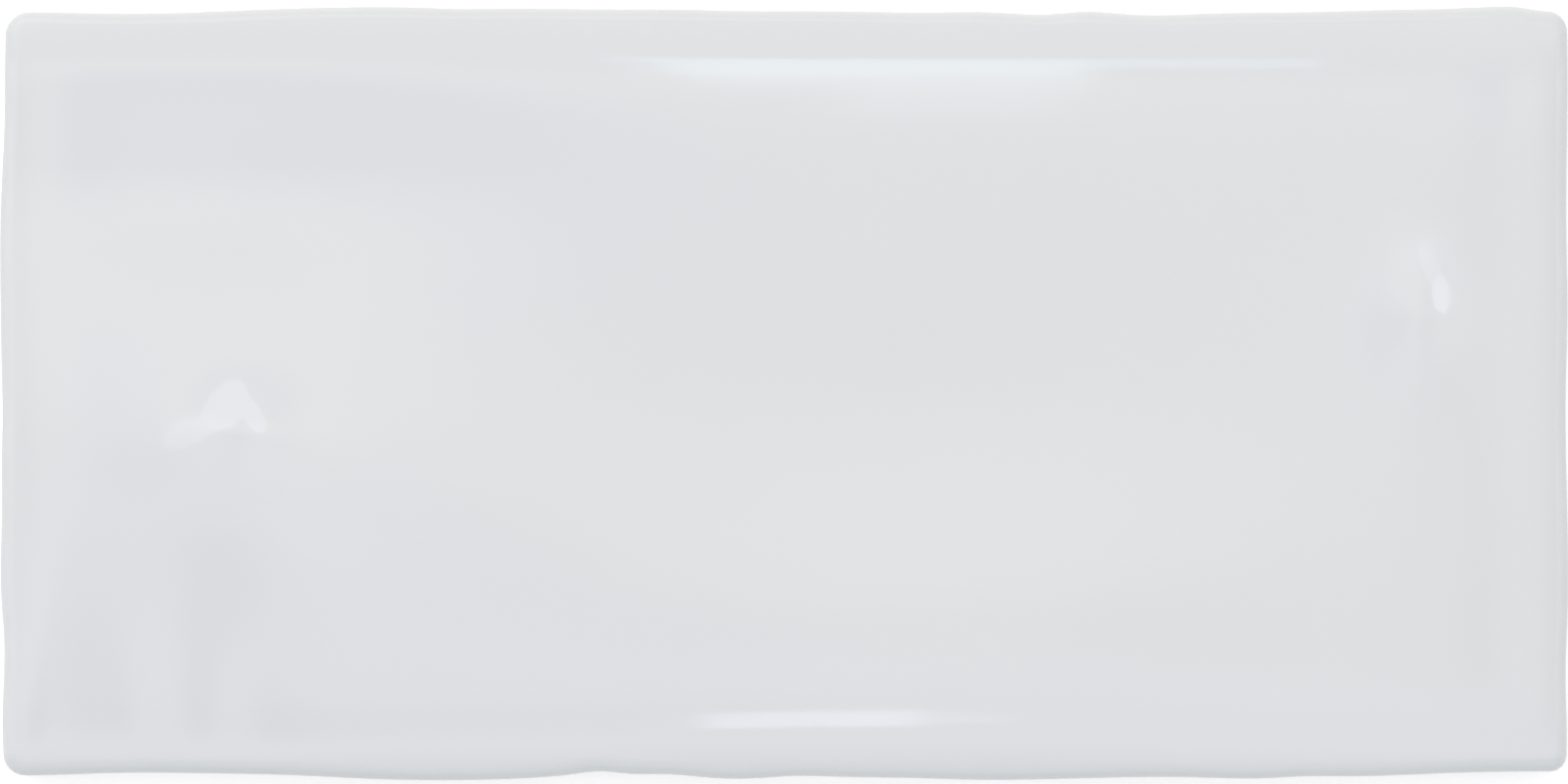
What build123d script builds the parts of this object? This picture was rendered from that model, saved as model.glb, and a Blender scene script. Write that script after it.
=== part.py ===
from build123d import *

import math
import os

# Driving dimensions, in millimetres
LENGTH = 150.0  # over the wave crests of the two short sides
WIDTH = 74.0  # over the wave crests of the two long sides
FACE_HEIGHT = 7.7  # floor to the mean level of the glazed face

# Edge in section
ROLL_RADIUS = 1.3  # glazed edge, where the face turns down into the flank
ROLL_SHARE = 0.85  # most of the tightest corner's radius that the roll may take
FLANK_BREAK = 3.0  # height at which the drafted lower flank meets the upright one
FLANK_DRAFT = 0.6  # how far the back's edge stands inside the face's
BACK_ARRIS = 0.4  # small bevel between flank and back

# Face: a shallow pillow that falls towards all four sides
PILLOW_DROP = 0.5
PILLOW_WIDTH = 6.5  # border over which nearly all of the drop comes
FACE_STEP = 2.5  # spacing of the points that shape the face
FACE_TOLERANCE = 0.005

# Keying relief pressed into the back for the adhesive
POCKET_COLUMNS = 10
POCKET_ROWS = 4
POCKET_DEPTH = 0.8
POCKET_DRAFT = 20.0  # degrees
RIB_WIDTH = 2.0
BACK_BORDER = 6.0

# Waves of each side, as the hand-cut edge runs: the place along the side, as a fraction of its
# half towards +X or +Y, and how deep the edge lies there inside the side's crest line
TOP_WAVE = (
    (-0.85, 0.64),
    (-0.76, 0.54),
    (-0.66, 0.24),
    (-0.56, 0.04),
    (-0.475, 0.04),
    (-0.42, 0.18),
    (-0.35, 0.14),
    (-0.25, 0.21),
    (-0.15, 0.24),
    (-0.06, 0.37),
    (0.08, 0.42),
    (0.18, 0.53),
    (0.27, 0.53),
    (0.335, 0.72),
    (0.38, 0.46),
    (0.44, 0.71),
    (0.56, 0.59),
    (0.66, 0.50),
    (0.78, 0.26),
    (0.88, 0.06),
    (0.94, 0.07),
)
BOTTOM_WAVE = (
    (-0.86, 0.68),
    (-0.74, 0.66),
    (-0.62, 0.46),
    (-0.54, 0.17),
    (-0.47, 0.02),
    (-0.38, 0.05),
    (-0.31, 0.28),
    (-0.27, 0.57),
    (-0.235, 0.85),
    (-0.20, 0.63),
    (-0.15, 0.57),
    (-0.08, 0.17),
    (-0.04, 0.17),
    (0.01, 0.40),
    (0.07, 0.33),
    (0.16, 0.22),
    (0.24, 0.05),
    (0.31, 0.06),
    (0.38, 0.18),
    (0.52, 0.28),
    (0.61, 0.18),
    (0.66, 0.36),
    (0.73, 0.38),
    (0.81, 0.57),
    (0.90, 0.79),
)
LEFT_WAVE = (
    (-0.88, 0.24),
    (-0.79, 0.28),
    (-0.72, 0.37),
    (-0.62, 0.36),
    (-0.54, 0.14),
    (-0.44, 0.06),
    (-0.28, 0.17),
    (-0.17, 0.15),
    (-0.07, 0.24),
    (0.06, 0.15),
    (0.20, 0.06),
    (0.42, 0.02),
    (0.57, 0.20),
    (0.70, 0.41),
    (0.84, 0.45),
)
RIGHT_WAVE = (
    (-0.86, 0.10),
    (-0.74, 0.20),
    (-0.56, 0.02),
    (-0.26, 0.09),
    (0.00, 0.19),
    (0.25, 0.03),
    (0.35, 0.10),
    (0.62, 0.10),
    (0.82, 0.02),
)

# Corners by their side in X and Y: radius, depth where the long side ends, and the short side's
CORNERS = {
    (-1, 1): (2.3, 0.50, 0.50),
    (1, 1): (2.0, 0.40, 0.05),
    (1, -1): (1.6, 0.83, 0.10),
    (-1, -1): (2.1, 0.44, 0.30),
}

# Undulations of the face: place as fractions of the half length and the half width, reach along
# and across, and rise above the mean level
UNDULATIONS = (
    # Crest that runs from the middle of the left side down and along to the right
    (-0.68, -0.20, 26.0, 12.0, 0.19),
    (-0.36, -0.46, 20.0, 11.0, 0.08),
    (-0.02, -0.70, 26.0, 12.0, 0.13),
    (0.30, -0.58, 22.0, 11.0, 0.12),
    # Hollows: upper left, the middle of the face, and two in the low left corner
    (-0.74, 0.58, 28.0, 10.5, -0.24),
    (0.28, 0.06, 36.0, 13.0, -0.12),
    (-0.90, -0.96, 5.0, 13.0, -0.26),
    (-0.76, -0.94, 6.0, 15.0, -0.30),
    # Two small lumps in the glaze, each with a gentler tail below it
    (-0.69, -0.09, 5.0, 3.8, 0.12),
    (-0.68, -0.28, 8.0, 7.0, 0.06),
    (0.81, 0.20, 3.6, 5.0, 0.12),
    (0.78, 0.02, 8.0, 8.0, 0.06),
)


def corner(x_side, y_side, inset):
    """Centre and radius of a corner's arc, and its ends on the long side and the short side."""
    radius, long_depth, short_depth = CORNERS[x_side, y_side]
    x = x_side * (LENGTH / 2 - short_depth - radius)
    y = y_side * (WIDTH / 2 - long_depth - radius)
    turn = radius - inset
    return (x, y), turn, (x, y + y_side * turn), (x + x_side * turn, y)


def draw_corner(x_side, y_side, start_angle, inset):
    """Quarter arc that joins a long side to a short one."""
    centre, turn, _, _ = corner(x_side, y_side, inset)
    CenterArc(centre, turn, start_angle, 90)


def draw_long_side(wave, y_side, inset):
    """Wavy side along X, from the end of one corner's arc to the start of the next."""
    waves = [(part * LENGTH / 2, y_side * (WIDTH / 2 - depth - inset)) for part, depth in wave]
    start = corner(-1, y_side, inset)[2]
    end = corner(1, y_side, inset)[2]
    Spline(start, *waves, end, tangents=[(1, 0), (1, 0)])


def draw_short_side(wave, x_side, inset):
    """Wavy side along Y, from the end of one corner's arc to the start of the next."""
    waves = [(x_side * (LENGTH / 2 - depth - inset), part * WIDTH / 2) for part, depth in wave]
    start = corner(x_side, -1, inset)[3]
    end = corner(x_side, 1, inset)[3]
    Spline(start, *waves, end, tangents=[(0, 1), (0, 1)])


def outline(inset=0.0):
    """Closed outline of the tile, set in by a distance all round."""
    with BuildLine() as edge:
        draw_long_side(BOTTOM_WAVE, -1, inset)
        draw_corner(1, -1, 270, inset)
        draw_short_side(RIGHT_WAVE, 1, inset)
        draw_corner(1, 1, 0, inset)
        draw_long_side(TOP_WAVE, 1, inset)
        draw_corner(-1, 1, 90, inset)
        draw_short_side(LEFT_WAVE, -1, inset)
        draw_corner(-1, -1, 180, inset)
    return edge.line


def face_height(x, y):
    """Height of the glazed face: its mean level, its undulations and the fall of its border."""
    height = FACE_HEIGHT
    for x_part, y_part, reach_along, reach_across, rise in UNDULATIONS:
        along = (x - x_part * LENGTH / 2) / reach_along
        across = (y - y_part * WIDTH / 2) / reach_across
        height += rise * math.exp(-(along**2) - across**2)
    for place, half in ((x, LENGTH / 2), (y, WIDTH / 2)):
        height -= PILLOW_DROP * (abs(place) / half) ** (2 * half / PILLOW_WIDTH)
    return height


def face_places(size):
    """Evenly spaced places across a size, and one step past both of its ends."""
    steps = math.ceil(size / FACE_STEP)
    return [(step / steps - 0.5) * size for step in range(-1, steps + 2)]


def face_sheet():
    """The undulating face as one smooth surface that runs a little past the tile."""
    rows = [
        [Vector(x, y, face_height(x, y)) for y in face_places(WIDTH)]
        for x in face_places(LENGTH)
    ]
    return Face.make_surface_from_array_of_points(rows, tol=FACE_TOLERANCE, min_deg=3, max_deg=5)


def share(size, border, rib, count):
    """Width of each of a row of pockets between two borders, with ribs between them."""
    return (size - 2 * border - (count - 1) * rib) / count


with BuildPart() as tile:
    # Lower flank, drafted from the back's edge out to the upright flank
    with BuildSketch(Plane.XY):
        add(outline(FLANK_DRAFT))
        make_face()
    with BuildSketch(Plane.XY.offset(FLANK_BREAK)):
        add(outline())
        make_face()
    loft(ruled=True)

    # Upright flank, taken past the face and cut back to it
    with BuildSketch(Plane.XY.offset(FLANK_BREAK)):
        add(outline())
        make_face()
    extrude(amount=FACE_HEIGHT)
    split(bisect_by=face_sheet(), keep=Keep.BOTTOM)

    # Glazed edge rolled over from the face, and the arris bevelled round the back
    tightest = min(radius for radius, _, _ in CORNERS.values())
    face_edges = tile.faces().sort_by(Axis.Z)[-1].outer_wire().edges()
    fillet(face_edges, min(ROLL_RADIUS, ROLL_SHARE * tightest))
    back_edges = tile.faces().sort_by(Axis.Z)[0].outer_wire().edges()
    chamfer(back_edges, BACK_ARRIS)

    # Keying pockets, with a rib's crossing at the middle of the back
    pocket_length = share(LENGTH, BACK_BORDER, RIB_WIDTH, POCKET_COLUMNS)
    pocket_width = share(WIDTH, BACK_BORDER, RIB_WIDTH, POCKET_ROWS)
    with BuildSketch(Plane.XY):
        with GridLocations(
            pocket_length + RIB_WIDTH, pocket_width + RIB_WIDTH, POCKET_COLUMNS, POCKET_ROWS
        ):
            Rectangle(pocket_length, pocket_width)
    extrude(amount=POCKET_DEPTH, taper=POCKET_DRAFT, mode=Mode.SUBTRACT)

tile.part.label = "tile"

os.makedirs("parts", exist_ok=True)
export_step(tile.part, "parts/tile.step")
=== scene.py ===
import math

import bpy
import numpy as np
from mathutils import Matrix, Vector

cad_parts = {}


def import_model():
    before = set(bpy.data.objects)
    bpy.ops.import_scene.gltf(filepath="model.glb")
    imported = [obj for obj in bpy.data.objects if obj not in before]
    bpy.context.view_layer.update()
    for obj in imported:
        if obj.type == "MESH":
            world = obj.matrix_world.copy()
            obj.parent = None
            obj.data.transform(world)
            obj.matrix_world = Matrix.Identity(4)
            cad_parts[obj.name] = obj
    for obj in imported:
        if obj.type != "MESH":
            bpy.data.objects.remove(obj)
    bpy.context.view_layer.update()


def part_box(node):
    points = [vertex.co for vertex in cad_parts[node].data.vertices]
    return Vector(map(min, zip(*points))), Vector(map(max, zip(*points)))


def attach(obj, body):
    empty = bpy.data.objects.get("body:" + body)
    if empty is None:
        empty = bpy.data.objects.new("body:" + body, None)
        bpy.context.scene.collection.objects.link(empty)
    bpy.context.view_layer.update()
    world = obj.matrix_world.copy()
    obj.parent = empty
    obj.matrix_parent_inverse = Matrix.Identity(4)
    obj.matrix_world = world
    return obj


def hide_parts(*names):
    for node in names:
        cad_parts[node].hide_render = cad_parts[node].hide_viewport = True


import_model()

MM = 0.001  # the tile's shape is in millimetres and becomes metres in the mesh

# Overall size, from the frame; the dressed tile stays a hair inside the solid
SLACK = 0.05
low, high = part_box("tile")
LENGTH = (high[0] - low[0]) / MM - SLACK
WIDTH = (high[1] - low[1]) / MM - SLACK

# Section of the tile, as in the part
FACE_HEIGHT = 7.7 - SLACK / 2
ROLL_RADIUS = 1.3
FLANK_BREAK = 3.0
FLANK_DRAFT = 0.6
BACK_ARRIS = 0.4
PILLOW_DROP = 0.5
PILLOW_WIDTH = 6.5
POCKET_COLUMNS = 10
POCKET_ROWS = 4
POCKET_DEPTH = 0.8
POCKET_DRAFT = 20.0
RIB_WIDTH = 2.0
BACK_BORDER = 6.0

# Waves of the four sides, as in the part: place along the half side, and depth inside the crest
TOP_WAVE = (
    (-0.85, 0.64),
    (-0.76, 0.54),
    (-0.66, 0.24),
    (-0.56, 0.04),
    (-0.475, 0.04),
    (-0.42, 0.18),
    (-0.35, 0.14),
    (-0.25, 0.21),
    (-0.15, 0.24),
    (-0.06, 0.37),
    (0.08, 0.42),
    (0.18, 0.53),
    (0.27, 0.53),
    (0.335, 0.72),
    (0.38, 0.46),
    (0.44, 0.71),
    (0.56, 0.59),
    (0.66, 0.50),
    (0.78, 0.26),
    (0.88, 0.06),
    (0.94, 0.07),
)
BOTTOM_WAVE = (
    (-0.86, 0.68),
    (-0.74, 0.66),
    (-0.62, 0.46),
    (-0.54, 0.17),
    (-0.47, 0.02),
    (-0.38, 0.05),
    (-0.31, 0.28),
    (-0.27, 0.57),
    (-0.235, 0.85),
    (-0.20, 0.63),
    (-0.15, 0.57),
    (-0.08, 0.17),
    (-0.04, 0.17),
    (0.01, 0.40),
    (0.07, 0.33),
    (0.16, 0.22),
    (0.24, 0.05),
    (0.31, 0.06),
    (0.38, 0.18),
    (0.52, 0.28),
    (0.61, 0.18),
    (0.66, 0.36),
    (0.73, 0.38),
    (0.81, 0.57),
    (0.90, 0.79),
)
LEFT_WAVE = (
    (-0.88, 0.24),
    (-0.79, 0.28),
    (-0.72, 0.37),
    (-0.62, 0.36),
    (-0.54, 0.14),
    (-0.44, 0.06),
    (-0.28, 0.17),
    (-0.17, 0.15),
    (-0.07, 0.24),
    (0.06, 0.15),
    (0.20, 0.06),
    (0.42, 0.02),
    (0.57, 0.20),
    (0.70, 0.41),
    (0.84, 0.45),
)
RIGHT_WAVE = (
    (-0.86, 0.10),
    (-0.74, 0.20),
    (-0.56, 0.02),
    (-0.26, 0.09),
    (0.00, 0.19),
    (0.25, 0.03),
    (0.35, 0.10),
    (0.62, 0.10),
    (0.82, 0.02),
)

# Corners by their side in X and Y: radius, depth where the long side ends, and the short side's
CORNERS = {
    (-1, 1): (2.3, 0.50, 0.50),
    (1, 1): (2.0, 0.40, 0.05),
    (1, -1): (1.6, 0.83, 0.10),
    (-1, -1): (2.1, 0.44, 0.30),
}

# Undulations of the face, as in the part: place, reach along and across, and rise
UNDULATIONS = (
    # Crest that runs from the middle of the left side down and along to the right
    (-0.68, -0.20, 26.0, 12.0, 0.19),
    (-0.36, -0.46, 20.0, 11.0, 0.08),
    (-0.02, -0.70, 26.0, 12.0, 0.13),
    (0.30, -0.58, 22.0, 11.0, 0.12),
    # Hollows: upper left, the middle of the face, and two in the low left corner
    (-0.74, 0.58, 28.0, 10.5, -0.24),
    (0.28, 0.06, 36.0, 13.0, -0.12),
    (-0.90, -0.96, 5.0, 13.0, -0.26),
    (-0.76, -0.94, 6.0, 15.0, -0.30),
    # Two small lumps in the glaze, each with a gentler tail below it
    (-0.69, -0.09, 5.0, 3.8, 0.12),
    (-0.68, -0.28, 8.0, 7.0, 0.06),
    (0.81, 0.20, 3.6, 5.0, 0.12),
    (0.78, 0.02, 8.0, 8.0, 0.06),
)

# Glaze on the flank: where it ends, how that line wanders, and its bead and step to the biscuit
GLAZE_END = 3.9
GLAZE_WANDER = 0.45
GLAZE_WAVES = (5, 11, 19, 34, 53)  # waves of the line round the tile
GLAZE_WAVE_STRENGTH = (0.5, 1.0)  # weakest and strongest that a wave may be
GLAZE_SEED = 3
GLAZE_THICKNESS = 0.12
GLAZE_BEAD = 0.5

# Rings down the flank. Glazed flank: share of the way from the roll to the bead
GLAZED_RINGS = (0.35, 0.7, 1.0)
# Bead: share of the glaze's thickness that it has lost, and share of the bead's height left
BEAD_RINGS = ((0.1, 0.3), (0.45, 0.08), (1.0, 0.0))
# Bare flank: drop below the glaze's end, and below the break of the flank
BARE_DROP = 0.15
BREAK_DROP = 0.3
# Arris, a little worn: distance inside the edge, and height
ARRIS_TOP = FLANK_DRAFT * (1 - BACK_ARRIS / FLANK_BREAK)
ARRIS_FOOT = FLANK_DRAFT + BACK_ARRIS
ARRIS_RINGS = (
    (ARRIS_TOP - 0.02, BACK_ARRIS * 1.2),
    (ARRIS_TOP + 0.07, BACK_ARRIS * 0.75),
    (ARRIS_FOOT - 0.1, 0.06),
    (ARRIS_FOOT + 0.1, 0.0),
)

# Pocket's wall as seen from below, and how far its soft edges run past it
POCKET_WALL = POCKET_DEPTH * math.tan(math.radians(POCKET_DRAFT))
POCKET_SOFTNESS = POCKET_WALL / 4

# Cells of the mesh along a back pocket's pitch: half rib, wall, floor, wall and half rib
RIB_CELLS = 2
WALL_CELLS = 7
LONG_FLOOR_CELLS = 6
CROSS_FLOOR_CELLS = 12
COLUMNS = POCKET_COLUMNS * (2 * RIB_CELLS + 2 * WALL_CELLS + LONG_FLOOR_CELLS)
ROWS = POCKET_ROWS * (2 * RIB_CELLS + 2 * WALL_CELLS + CROSS_FLOOR_CELLS)
ROLL_CELLS = 12
BORDER_CELLS = 5

# Points along a side and along half a corner before they are spaced out evenly
SIDE_POINTS = 1500
CORNER_POINTS = 50
SHORTEST_RUN = 0.000001  # points nearer than this count as one

# The face's slope at the roll is read over this run, in so many rounds
SLOPE_RUN = 0.05
SLOPE_ROUNDS = 3

# Slots of the mesh's materials
GLAZE = 0
BISCUIT = 1

# Materials: colour or roughness at two values of a noise, and height of the bumps in metres
GLAZE_TONES = ((0.3, (0.750, 0.772, 0.778)), (0.7, (0.758, 0.780, 0.786)))
GLAZE_SHEENS = ((0.3, (0.035, 0.035, 0.035)), (0.7, (0.05, 0.05, 0.05)))
GLAZE_PEEL = 0.000003
GLAZE_IOR = 1.5
BISCUIT_TONES = ((0.3, (0.66, 0.615, 0.55)), (0.7, (0.74, 0.70, 0.64)))
BISCUIT_GRAIN = 0.00006
BISCUIT_ROUGHNESS = 0.9

# Floor: half its size in metres, its tone, and the glow that makes it white where no shadow lies
FLOOR_HALF = 4.0
FLOOR_TONE = 0.75
FLOOR_GLOW = 0.52

# Room around the tile: its colour by the Y part of a direction, from the foot's side to the head's
ROOM_COLOURS = (
    (-1.0, (1.00, 1.03, 0.99)),
    (-0.4, (0.37, 0.41, 0.38)),
    (-0.24, (0.10, 0.00, 0.16)),
    (-0.20, (0.54, 0.54, 0.86)),
    (-0.14, (1.19, 1.16, 1.45)),
    (-0.08, (0.98, 0.96, 1.20)),
    (-0.035, (1.23, 1.24, 1.32)),
    (0.0, (1.12, 1.15, 1.14)),
    (0.01, (1.19, 1.20, 1.20)),
    (0.022, (1.77, 1.58, 1.59)),
    (0.04, (1.80, 1.62, 1.55)),
    (0.06, (1.08, 1.05, 1.11)),
    (0.2, (1.53, 1.42, 1.32)),
    (0.35, (0.90, 1.00, 0.94)),
    (1.0, (0.75, 0.66, 0.62)),
)
BRIGHTEST = max(max(colour) for _, colour in ROOM_COLOURS)

# Dark patches of the room: X and Y of the direction, radius, and the share of light in the middle
DARK_PATCHES = (
    (-0.052, -0.076, 0.066, (0.05, 0.05, 0.4)),
    (-0.035, -0.002, 0.045, (0.6, 0.5, 0.8)),
    (0.045, -0.012, 0.035, (0.5, 0.5, 0.5)),
    (0.055, 0.038, 0.040, (0.45, 0.5, 0.65)),
    (-0.200, 0.000, 0.100, (0.6, 0.6, 0.6)),
    (0.270, 0.000, 0.160, (0.25, 0.1, 0.1)),
)

# Key light from the head's left, nearly white: place and size in metres
KEY_PLACE = (-0.90, 1.30, 1.35)
KEY_SIZE = (2.0, 2.0)
KEY_RADIANCE = 0.79
KEY_COLOUR = (1.0, 0.94, 0.98)

# Lamps 1 m over the tile that show in its head and foot: place, size, radiance and colour
COOL = (0.66, 0.87, 1.0)
LILAC = (0.79, 0.82, 1.0)
LAMPS = {
    "head_core": ((0.010, 0.094, 1.0), (0.057, 0.032), 3.1, COOL),
    "head_skirt": ((0.0125, 0.073, 1.0), (0.052, 0.010), 1.6, COOL),
    "head_hem": ((0.0235, 0.063, 1.0), (0.030, 0.010), 1.0, COOL),
    "head_fringe": ((-0.0025, 0.063, 1.0), (0.022, 0.010), 0.4, COOL),
    "head_glow": ((0.0215, 0.050, 1.0), (0.028, 0.016), 0.7, LILAC),
    "head_blade": ((-0.0225, 0.106, 1.0), (0.008, 0.012), 1.6, COOL),
    "head_strip": ((0.053, 0.1015, 1.0), (0.030, 0.019), 1.75, COOL),
    "foot_strip": ((0.0025, -0.118, 1.0), (0.036, 0.030), 2.8, LILAC),
    "foot_core": ((0.0145, -0.119, 0.999), (0.014, 0.022), 0.5, LILAC),
    "foot_tail": ((0.029, -0.117, 1.0), (0.013, 0.018), 1.0, LILAC),
}

# Small oval lamps close over the tile that show in its two lumps: place, size, turn about the
# upright in degrees, and radiance
GLINTS = {
    "left_body": ((-0.0547, 0.0004, 0.04), (0.0078, 0.0044), 45, 1.5),
    "left_foot": ((-0.0588, -0.0030, 0.04), (0.0054, 0.0032), 42, 0.9),
    "left_leg": ((-0.0507, -0.0004, 0.04), (0.0060, 0.0028), -64, 1.5),
    "right_body": ((0.0650, 0.0103, 0.04), (0.0046, 0.0021), -68, 2.2),
    "right_neck": ((0.0630, 0.0133, 0.04), (0.0048, 0.0018), -48, 0.9),
    "right_halo": ((0.0620, 0.0138, 0.042), (0.0105, 0.0052), -38, 0.2),
}

# The photograph: its width spans this many millimetres at the height of the tile's edge
FRAME_SPAN = 149.97
EDGE_HEIGHT = 6.0
FRAME_CENTRE_Y = 0.15
LENS = 720.0
SENSOR = 36.0

# Nearest and farthest that the camera sees, in metres
NEAREST = 0.01
FARTHEST = 10.0


def flat_ended_curve(knots, values, places):
    """Smooth cubic through the values at the knots, level at both ends, read at the places."""
    gaps = np.diff(knots)
    steps = np.diff(values) / gaps
    count = len(knots)
    matrix = np.eye(count)
    target = np.zeros(count)
    for k in range(1, count - 1):
        matrix[k, k - 1 : k + 2] = gaps[k], 2 * (gaps[k - 1] + gaps[k]), gaps[k - 1]
        target[k] = 3 * (gaps[k] * steps[k - 1] + gaps[k - 1] * steps[k])
    slopes = np.linalg.solve(matrix, target)
    span = np.clip(np.searchsorted(knots, places) - 1, 0, count - 2)
    gap = gaps[span]
    part = (places - knots[span]) / gap
    rest = 1 - part
    ends = values[span] * (1 + 2 * part) * rest**2 + values[span + 1] * (1 + 2 * rest) * part**2
    bends = slopes[span] * gap * part * rest**2 - slopes[span + 1] * gap * rest * part**2
    return ends + bends


def corner_centre(x_side, y_side):
    """Centre of a corner's arc, and its radius."""
    radius, long_depth, short_depth = CORNERS[x_side, y_side]
    x = x_side * (LENGTH / 2 - short_depth - radius)
    y = y_side * (WIDTH / 2 - long_depth - radius)
    return x, y, radius


def corner_arc(x_side, y_side, first_angle):
    """Half of a corner's arc, an eighth of a turn."""
    x, y, radius = corner_centre(x_side, y_side)
    angles = np.radians(np.linspace(first_angle, first_angle + 45, CORNER_POINTS))
    return np.column_stack((x + radius * np.cos(angles), y + radius * np.sin(angles)))


def long_side(wave, y_side):
    """Wavy side along X, from -X to +X."""
    low_x = corner_centre(-1, y_side)[0]
    high_x = corner_centre(1, y_side)[0]
    knots = np.array([low_x] + [part * LENGTH / 2 for part, _ in wave] + [high_x])
    first = CORNERS[-1, y_side][1]
    last = CORNERS[1, y_side][1]
    depths = np.array([first] + [depth for _, depth in wave] + [last])
    places = np.linspace(low_x, high_x, SIDE_POINTS)
    sides = y_side * (WIDTH / 2 - flat_ended_curve(knots, depths, places))
    return np.column_stack((places, sides))


def short_side(wave, x_side):
    """Wavy side along Y, from -Y to +Y."""
    low_y = corner_centre(x_side, -1)[1]
    high_y = corner_centre(x_side, 1)[1]
    knots = np.array([low_y] + [part * WIDTH / 2 for part, _ in wave] + [high_y])
    first = CORNERS[x_side, -1][2]
    last = CORNERS[x_side, 1][2]
    depths = np.array([first] + [depth for _, depth in wave] + [last])
    places = np.linspace(low_y, high_y, SIDE_POINTS)
    sides = x_side * (LENGTH / 2 - flat_ended_curve(knots, depths, places))
    return np.column_stack((sides, places))


def evenly(points, cells):
    """Points and outward directions at even steps along a side; the last point is left out."""
    runs = np.linalg.norm(np.diff(points, axis=0), axis=1)
    keep = np.append(True, runs > SHORTEST_RUN)
    points = points[keep]
    along = np.append(0, np.cumsum(runs[keep[1:]]))
    tangents = np.gradient(points, along, axis=0)
    places = np.linspace(0, along[-1], cells + 1)[:-1]
    spots = [np.interp(places, along, points[:, axis]) for axis in (0, 1)]
    turned = np.interp(places, along, tangents[:, 1]), -np.interp(places, along, tangents[:, 0])
    outward = np.column_stack(turned)
    return np.column_stack(spots), outward / np.linalg.norm(outward, axis=1)[:, None]


def outline():
    """The tile's edge as a closed ring from the middle of its low left corner, anticlockwise."""
    sides = (
        (corner_arc(-1, -1, 225), long_side(BOTTOM_WAVE, -1), corner_arc(1, -1, 270), COLUMNS),
        (corner_arc(1, -1, 315), short_side(RIGHT_WAVE, 1), corner_arc(1, 1, 0), ROWS),
        (corner_arc(1, 1, 45), long_side(TOP_WAVE, 1)[::-1], corner_arc(-1, 1, 90), COLUMNS),
        (corner_arc(-1, 1, 135), short_side(LEFT_WAVE, -1)[::-1], corner_arc(-1, -1, 180), ROWS),
    )
    spaced = [evenly(np.vstack(side[:3]), side[3]) for side in sides]
    return np.vstack([spots for spots, _ in spaced]), np.vstack([out for _, out in spaced])


def face_height(x, y):
    """Height of the glazed face, as in the part."""
    height = np.full_like(x, FACE_HEIGHT)
    for x_part, y_part, reach_along, reach_across, rise in UNDULATIONS:
        along = (x - x_part * LENGTH / 2) / reach_along
        across = (y - y_part * WIDTH / 2) / reach_across
        height += rise * np.exp(-(along**2) - across**2)
    for place, half in ((x, LENGTH / 2), (y, WIDTH / 2)):
        height -= PILLOW_DROP * (np.abs(place) / half) ** (2 * half / PILLOW_WIDTH)
    return height


class TileMesh:
    """Vertices, faces and the material of each face, built ring by ring from the face down."""

    def __init__(self, edge, outward):
        self.edge = edge
        self.outward = outward
        self.count = len(edge)
        self.points = []
        self.faces = []
        self.slots = []
        self.total = 0
        self.last = None

    def add(self, points):
        """Add points and give their numbers."""
        first = self.total
        self.points.append(points)
        self.total += len(points)
        return np.arange(first, self.total)

    def quads(self, a, b, c, d, slot):
        """Add four-sided faces from the numbers of their corners."""
        self.faces.append(np.column_stack([part.ravel() for part in (a, b, c, d)]))
        self.slots.append(np.full(a.size, slot))

    def ring(self, points, slot):
        """Add a closed ring, joined to the ring before it by a band of faces in that slot."""
        here = self.add(points)
        if self.last is not None:
            before = self.last
            self.quads(before, here, np.roll(here, -1), np.roll(before, -1), slot)
        self.last = here
        return here

    def inset_ring(self, inset, height, slot):
        """Ring at a distance inside the edge; inset and height may vary round the tile."""
        inset = np.broadcast_to(inset, self.count)
        height = np.broadcast_to(height, self.count)
        flat = self.edge - self.outward * inset[:, None]
        return self.ring(np.column_stack((flat, height)), slot)

    def fill(self, ring, inner, slot, upward):
        """Fill a ring with a grid of cells; inner holds the points inside the ring."""
        index = np.empty((COLUMNS + 1, ROWS + 1), int)
        around = np.append(ring, ring[0])
        corner = COLUMNS + ROWS
        index[:, 0] = around[: COLUMNS + 1]
        index[-1, :] = around[COLUMNS : corner + 1]
        index[::-1, -1] = around[corner : corner + COLUMNS + 1]
        index[0, ::-1] = around[corner + COLUMNS :]
        index[1:-1, 1:-1] = self.add(inner.reshape(-1, 3)).reshape(COLUMNS - 1, ROWS - 1)
        low_low = index[:-1, :-1]
        high_low = index[1:, :-1]
        high_high = index[1:, 1:]
        low_high = index[:-1, 1:]
        if upward:
            self.quads(low_low, high_low, high_high, low_high, slot)
        else:
            self.quads(low_low, low_high, high_high, high_low, slot)


def four_sides(ring):
    """The sides of a ring as rows of points: low and high in Y, then low and high in X."""
    closed = np.vstack((ring, ring[:1]))
    corner = COLUMNS + ROWS
    low_y = closed[: COLUMNS + 1]
    high_x = closed[COLUMNS : corner + 1]
    high_y = closed[corner : corner + COLUMNS + 1][::-1]
    low_x = closed[corner + COLUMNS :][::-1]
    return low_y, high_y, low_x, high_x


def blended_grid(ring):
    """Points inside a ring, blended from its four sides."""
    low_y, high_y, low_x, high_x = four_sides(ring)
    u = np.linspace(0, 1, COLUMNS + 1)[:, None, None]
    v = np.linspace(0, 1, ROWS + 1)[None, :, None]
    across = (1 - v) * low_y[:, None] + v * high_y[:, None]
    along = (1 - u) * low_x[None] + u * high_x[None]
    low_corners = (1 - v) * low_y[0] + v * high_y[0]
    high_corners = (1 - v) * low_y[-1] + v * high_y[-1]
    corners = (1 - u) * low_corners + u * high_corners
    return (across + along - corners)[1:-1, 1:-1]


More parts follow.
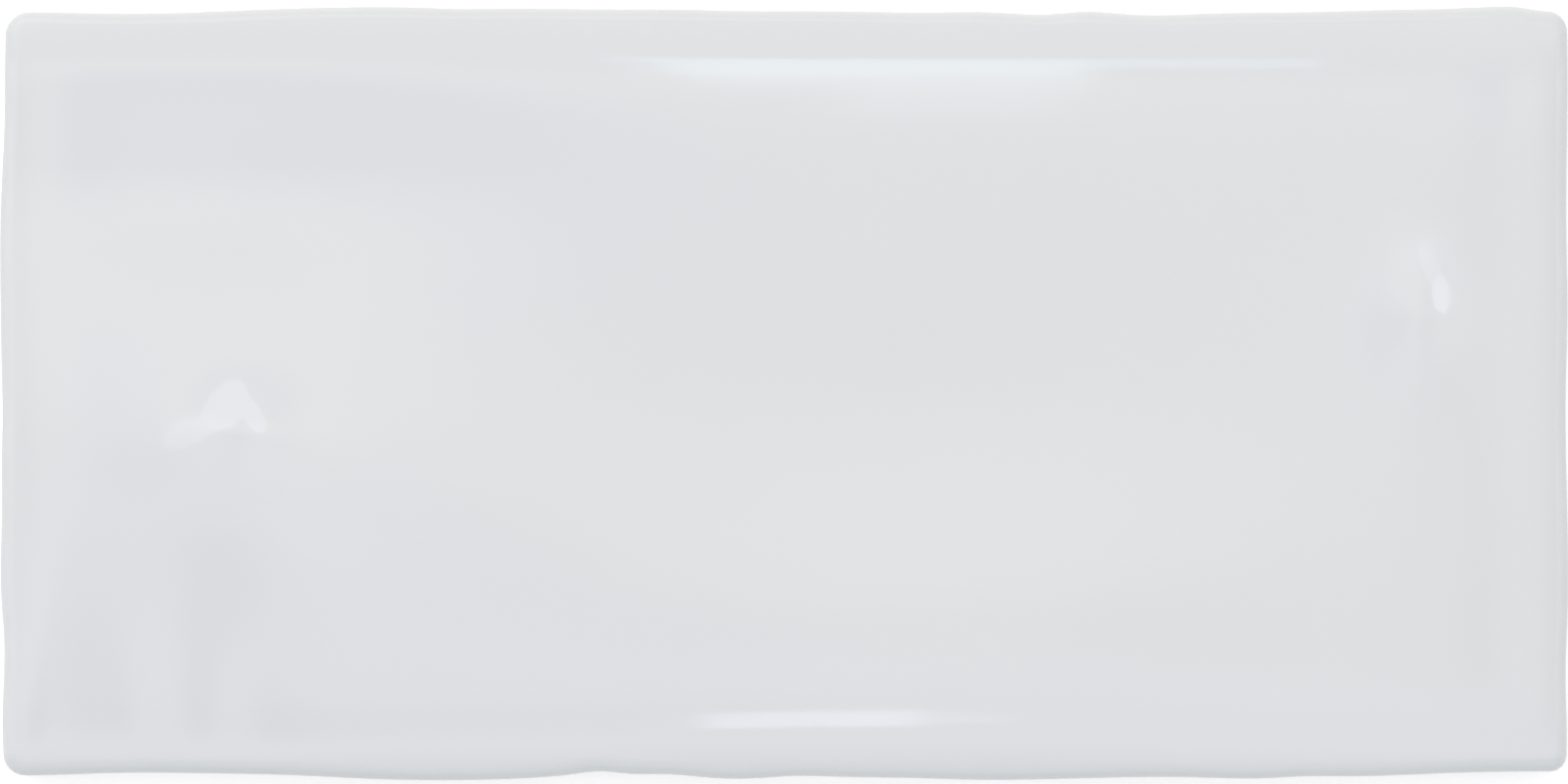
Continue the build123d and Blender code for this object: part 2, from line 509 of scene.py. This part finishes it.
def roll_start(edge, outward):
    """Where the rolled edge leaves the face: its slope there and its centre's height."""
    slope = np.zeros(len(edge))
    for _ in range(SLOPE_ROUNDS):
        inset = ROLL_RADIUS * (1 - np.sin(slope))
        spot = edge - outward * inset[:, None]
        ahead = spot + outward * SLOPE_RUN
        here = face_height(spot[:, 0], spot[:, 1])
        slope = np.arctan((here - face_height(ahead[:, 0], ahead[:, 1])) / SLOPE_RUN)
    return slope, here - ROLL_RADIUS * np.cos(slope)


def wander(count):
    """Smooth random line round the tile, mostly between -1 and 1."""
    random = np.random.default_rng(GLAZE_SEED)
    turn = np.linspace(0, 2 * np.pi, count, endpoint=False)
    line = np.zeros(count)
    for wave in GLAZE_WAVES:
        start = random.uniform(0, 2 * np.pi)
        strength = random.uniform(*GLAZE_WAVE_STRENGTH)
        line += np.sin(wave * turn + start) * strength
    return line / len(GLAZE_WAVES) ** 0.5


def rolled_edge(mesh):
    """Rings from the face round the roll; gives the first one and the height of the roll's centre."""
    slope, centre = roll_start(mesh.edge, mesh.outward)
    rings = []
    for k in range(ROLL_CELLS + 1):
        angle = slope + (math.pi / 2 - slope) * k / ROLL_CELLS
        inset = ROLL_RADIUS * (1 - np.sin(angle))
        rings.append(mesh.inset_ring(inset, centre + ROLL_RADIUS * np.cos(angle), GLAZE))
    return rings[0], centre


def flank(mesh, roll_centre):
    """Rings down the glazed flank, over the bead where the glaze ends, and down the bare flank."""
    end = GLAZE_END + GLAZE_WANDER * wander(mesh.count)
    for share in GLAZED_RINGS:
        mesh.inset_ring(0, roll_centre + (end + GLAZE_BEAD - roll_centre) * share, GLAZE)
    for lost, left in BEAD_RINGS:
        mesh.inset_ring(GLAZE_THICKNESS * lost, end + GLAZE_BEAD * left, GLAZE)
    mesh.inset_ring(GLAZE_THICKNESS, end - BARE_DROP, BISCUIT)
    mesh.inset_ring(GLAZE_THICKNESS, FLANK_BREAK - BREAK_DROP, BISCUIT)
    mesh.inset_ring((ARRIS_TOP + GLAZE_THICKNESS) / 2, FLANK_BREAK / 2, BISCUIT)
    for inset, height in ARRIS_RINGS:
        mesh.inset_ring(inset, height, BISCUIT)


def pocket_lines(count, pitch, floor_cells):
    """Grid lines across the pockets, and how far each line lies inside its pocket's wall."""
    half = pitch / 2
    rim = RIB_WIDTH / 2
    wall_start = rim - POCKET_SOFTNESS
    wall_end = rim + POCKET_WALL + POCKET_SOFTNESS
    rib = np.linspace(0, wall_start, RIB_CELLS + 1)[:-1]
    wall = np.linspace(wall_start, wall_end, WALL_CELLS + 1)
    floor = np.linspace(wall_end, half, floor_cells // 2 + 1)[1:]
    side = np.concatenate((rib, wall, floor))
    cell = np.concatenate((side, pitch - side[-2:0:-1]))
    lines = np.concatenate([cell + k * pitch for k in range(count)] + [[count * pitch]])
    inside = half - rim - np.abs(np.mod(lines, pitch) - half)
    return lines - count * pitch / 2, inside


def pocket_floor(inside):
    """Height of the back above the floor, from the distance inside a pocket's rim."""
    part = (inside + POCKET_SOFTNESS) / (POCKET_WALL + 2 * POCKET_SOFTNESS)
    part = np.clip(part, 0, 1)
    return POCKET_DEPTH * part**2 * (3 - 2 * part)


def rim_of_grid(xs, ys):
    """Outer points of a grid as a ring from its low corner, anticlockwise."""
    sides = (
        (xs[:-1, 0], ys[:-1, 0]),
        (xs[-1, :-1], ys[-1, :-1]),
        (xs[:0:-1, -1], ys[:0:-1, -1]),
        (xs[0, :0:-1], ys[0, :0:-1]),
    )
    return np.concatenate([np.column_stack(side) for side in sides])


def back(mesh):
    """Flat border of the back and its field of pockets."""
    pitch_x = (LENGTH - 2 * BACK_BORDER + RIB_WIDTH) / POCKET_COLUMNS
    pitch_y = (WIDTH - 2 * BACK_BORDER + RIB_WIDTH) / POCKET_ROWS
    x_lines, x_inside = pocket_lines(POCKET_COLUMNS, pitch_x, LONG_FLOOR_CELLS)
    y_lines, y_inside = pocket_lines(POCKET_ROWS, pitch_y, CROSS_FLOOR_CELLS)
    xs, ys = np.meshgrid(x_lines, y_lines, indexing="ij")
    field = rim_of_grid(xs, ys)
    start = mesh.points[-1][:, :2]
    for k in range(1, BORDER_CELLS + 1):
        flat = start + (field - start) * k / BORDER_CELLS
        field_ring = mesh.ring(np.column_stack((flat, np.zeros(mesh.count))), BISCUIT)
    heights = pocket_floor(np.minimum(x_inside[:, None], y_inside[None, :]))
    inner = np.dstack((xs, ys, heights))[1:-1, 1:-1]
    mesh.fill(field_ring, inner, BISCUIT, upward=False)


def face(mesh, face_ring):
    """The undulating face, inside the ring where the rolled edge leaves it."""
    flat = blended_grid(mesh.points[0][:, :2])
    inner = np.dstack((flat, face_height(flat[..., 0], flat[..., 1])))
    mesh.fill(face_ring, inner, GLAZE, upward=True)


def tile_mesh():
    """The whole tile as one closed mesh."""
    mesh = TileMesh(*outline())
    face_ring, roll_centre = rolled_edge(mesh)
    flank(mesh, roll_centre)
    back(mesh)
    face(mesh, face_ring)
    return mesh


def as_object(mesh, name, materials):
    """Turn the rings and grids into an object, in metres."""
    data = bpy.data.meshes.new(name)
    points = np.vstack(mesh.points) * MM
    faces = np.vstack(mesh.faces)
    data.from_pydata(points.tolist(), [], faces.tolist())
    for material in materials:
        data.materials.append(material)
    data.polygons.foreach_set("material_index", np.concatenate(mesh.slots).astype(np.int32))
    data.polygons.foreach_set("use_smooth", np.ones(len(faces), bool))
    data.update()
    piece = bpy.data.objects.new(name, data)
    bpy.context.scene.collection.objects.link(piece)
    return piece


def new_material(name):
    """New material with its nodes, links and shader."""
    material = bpy.data.materials.new(name)
    material.use_nodes = True
    nodes = material.node_tree.nodes
    return material, nodes, material.node_tree.links, nodes["Principled BSDF"]


def noise(nodes, links, place, scale, detail, roughness=0.5):
    """Value of a noise at a place."""
    node = nodes.new("ShaderNodeTexNoise")
    node.inputs["Scale"].default_value = scale
    node.inputs["Detail"].default_value = detail
    node.inputs["Roughness"].default_value = roughness
    links.new(place, node.inputs["Vector"])
    return node.outputs["Fac"]


def ramp(nodes, links, value, stops):
    """Colour ramp; stops are pairs of position and colour."""
    node = nodes.new("ShaderNodeValToRGB")
    elements = node.color_ramp.elements
    while len(elements) < len(stops):
        elements.new(0.5)
    for element, (position, colour) in zip(elements, stops):
        element.position = position
        element.color = (*colour, 1)
    links.new(value, node.inputs["Fac"])
    return node.outputs["Color"]


def bump(nodes, links, height, distance):
    """Normal of a surface with bumps of that height."""
    node = nodes.new("ShaderNodeBump")
    node.inputs["Distance"].default_value = distance
    links.new(height, node.inputs["Height"])
    return node.outputs["Normal"]


def glaze_material():
    """Thick gloss white glaze with a faint orange peel and slightly uneven tone."""
    material, nodes, links, shader = new_material("white_glaze")
    place = nodes.new("ShaderNodeTexCoord").outputs["Object"]
    tone = noise(nodes, links, place, scale=28, detail=3)
    links.new(ramp(nodes, links, tone, GLAZE_TONES), shader.inputs["Base Color"])
    sheen = noise(nodes, links, place, scale=90, detail=2)
    links.new(ramp(nodes, links, sheen, GLAZE_SHEENS), shader.inputs["Roughness"])
    peel = noise(nodes, links, place, scale=160, detail=2)
    links.new(bump(nodes, links, peel, GLAZE_PEEL), shader.inputs["Normal"])
    shader.inputs["IOR"].default_value = GLAZE_IOR
    return material


def biscuit_material():
    """Fired off-white body: chalky, speckled and faintly grainy."""
    material, nodes, links, shader = new_material("fired_biscuit")
    place = nodes.new("ShaderNodeTexCoord").outputs["Object"]
    tone = noise(nodes, links, place, scale=60, detail=5, roughness=0.6)
    links.new(ramp(nodes, links, tone, BISCUIT_TONES), shader.inputs["Base Color"])
    shader.inputs["Roughness"].default_value = BISCUIT_ROUGHNESS
    grain = noise(nodes, links, place, scale=2500, detail=3)
    links.new(bump(nodes, links, grain, BISCUIT_GRAIN), shader.inputs["Normal"])
    return material


def floor_material():
    """Pale floor that the camera and the gloss see as white, and darker in the tile's shadow."""
    material, nodes, links, shader = new_material("pale_floor")
    shader.inputs["Base Color"].default_value = (FLOOR_TONE, FLOOR_TONE, FLOOR_TONE, 1)
    shader.inputs["Roughness"].default_value = 1
    shader.inputs["Specular IOR Level"].default_value = 0
    shader.inputs["Emission Color"].default_value = (1, 1, 1, 1)
    rays = nodes.new("ShaderNodeLightPath")
    seen = nodes.new("ShaderNodeMath")
    seen.operation = "MAXIMUM"
    links.new(rays.outputs["Is Camera Ray"], seen.inputs[0])
    links.new(rays.outputs["Is Glossy Ray"], seen.inputs[1])
    glow = nodes.new("ShaderNodeMath")
    glow.operation = "MULTIPLY"
    glow.inputs[1].default_value = FLOOR_GLOW
    links.new(seen.outputs[0], glow.inputs[0])
    links.new(glow.outputs[0], shader.inputs["Emission Strength"])
    return material


def floor():
    """Square of floor under the tile."""
    half = FLOOR_HALF
    data = bpy.data.meshes.new("floor")
    corners = [(-half, -half, 0), (half, -half, 0), (half, half, 0), (-half, half, 0)]
    data.from_pydata(corners, [], [(0, 1, 2, 3)])
    data.materials.append(floor_material())
    piece = bpy.data.objects.new("floor", data)
    bpy.context.scene.collection.objects.link(piece)


def patched(nodes, links, direction, colour, patch):
    """The room's colour with one dark patch on it, softened towards the patch's rim."""
    x, y, radius, middle = patch
    distance = nodes.new("ShaderNodeVectorMath")
    distance.operation = "DISTANCE"
    distance.inputs[1].default_value = (x, y, math.sqrt(1 - x**2 - y**2))
    links.new(direction, distance.inputs[0])
    nearness = nodes.new("ShaderNodeMapRange")
    nearness.interpolation_type = "SMOOTHSTEP"
    nearness.inputs["From Max"].default_value = radius
    nearness.inputs["To Min"].default_value = 1.0
    nearness.inputs["To Max"].default_value = 0.0
    links.new(distance.outputs["Value"], nearness.inputs["Value"])
    darker = nodes.new("ShaderNodeMix")
    darker.data_type = "RGBA"
    darker.blend_type = "MULTIPLY"
    links.new(nearness.outputs["Result"], darker.inputs["Factor"])
    links.new(colour, darker.inputs["A"])
    darker.inputs["B"].default_value = (*middle, 1)
    return darker.outputs["Result"]


def room_light(nodes, links):
    """Colour of the room by direction: a ramp along Y, times its dark patches."""
    direction = nodes.new("ShaderNodeTexCoord").outputs["Generated"]
    parts = nodes.new("ShaderNodeSeparateXYZ")
    links.new(direction, parts.inputs["Vector"])
    place = nodes.new("ShaderNodeMapRange")
    place.inputs["From Min"].default_value = -1.0
    links.new(parts.outputs["Y"], place.inputs["Value"])
    stops = [
        ((1 + y) / 2, [part / BRIGHTEST for part in colour])
        for y, colour in ROOM_COLOURS
    ]
    colour = ramp(nodes, links, place.outputs["Result"], stops)
    for patch in DARK_PATCHES:
        colour = patched(nodes, links, direction, colour, patch)
    return colour


def world():
    """Room that lights the tile by direction, and that the camera sees as white."""
    room = bpy.data.worlds.new("room")
    room.use_nodes = True
    nodes = room.node_tree.nodes
    links = room.node_tree.links
    rays = nodes.new("ShaderNodeLightPath")
    seen = nodes.new("ShaderNodeMix")
    seen.data_type = "RGBA"
    links.new(rays.outputs["Is Camera Ray"], seen.inputs["Factor"])
    links.new(room_light(nodes, links), seen.inputs["A"])
    seen.inputs["B"].default_value = (1, 1, 1, 1)
    links.new(seen.outputs["Result"], nodes["Background"].inputs["Color"])
    nodes["Background"].inputs["Strength"].default_value = BRIGHTEST
    bpy.context.scene.world = room


def soft_box(name, place, size, radiance, colour, oval=False):
    """Rectangular or oval lamp of a given radiance that faces straight down."""
    data = bpy.data.lights.new(name, "AREA")
    data.shape = "ELLIPSE" if oval else "RECTANGLE"
    data.size, data.size_y = size
    area = size[0] * size[1] * (math.pi / 4 if oval else 1)
    data.energy = radiance * math.pi * area
    data.color = colour
    lamp = bpy.data.objects.new(name, data)
    lamp.location = place
    lamp.visible_camera = False
    bpy.context.scene.collection.objects.link(lamp)
    return lamp


def lights():
    """A wide key from the head's left, and the lamps that show in the glaze."""
    key = soft_box("key", KEY_PLACE, KEY_SIZE, KEY_RADIANCE, KEY_COLOUR)
    key.rotation_euler = (-Vector(KEY_PLACE)).to_track_quat("-Z", "Y").to_euler()
    for name, (place, size, radiance, colour) in LAMPS.items():
        soft_box(name, place, size, radiance, colour)
    for name, (place, size, turn, radiance) in GLINTS.items():
        lamp = soft_box(name, place, size, radiance, LILAC, oval=True)
        lamp.rotation_euler.z = math.radians(turn)


def camera():
    """Straight down on the face, framed as in the photograph."""
    data = bpy.data.cameras.new("camera")
    data.lens = LENS
    data.sensor_width = SENSOR
    data.clip_start = NEAREST
    data.clip_end = FARTHEST
    distance = LENS / SENSOR * FRAME_SPAN + EDGE_HEIGHT
    piece = bpy.data.objects.new("camera", data)
    piece.location = (0, FRAME_CENTRE_Y * MM, distance * MM)
    bpy.context.scene.collection.objects.link(piece)
    bpy.context.scene.camera = piece


camera()
world()
floor()
lights()

tile = as_object(tile_mesh(), "glazed_tile", (glaze_material(), biscuit_material()))
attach(tile, "root")
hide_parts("tile")

bpy.context.scene.view_settings.view_transform = "Standard"
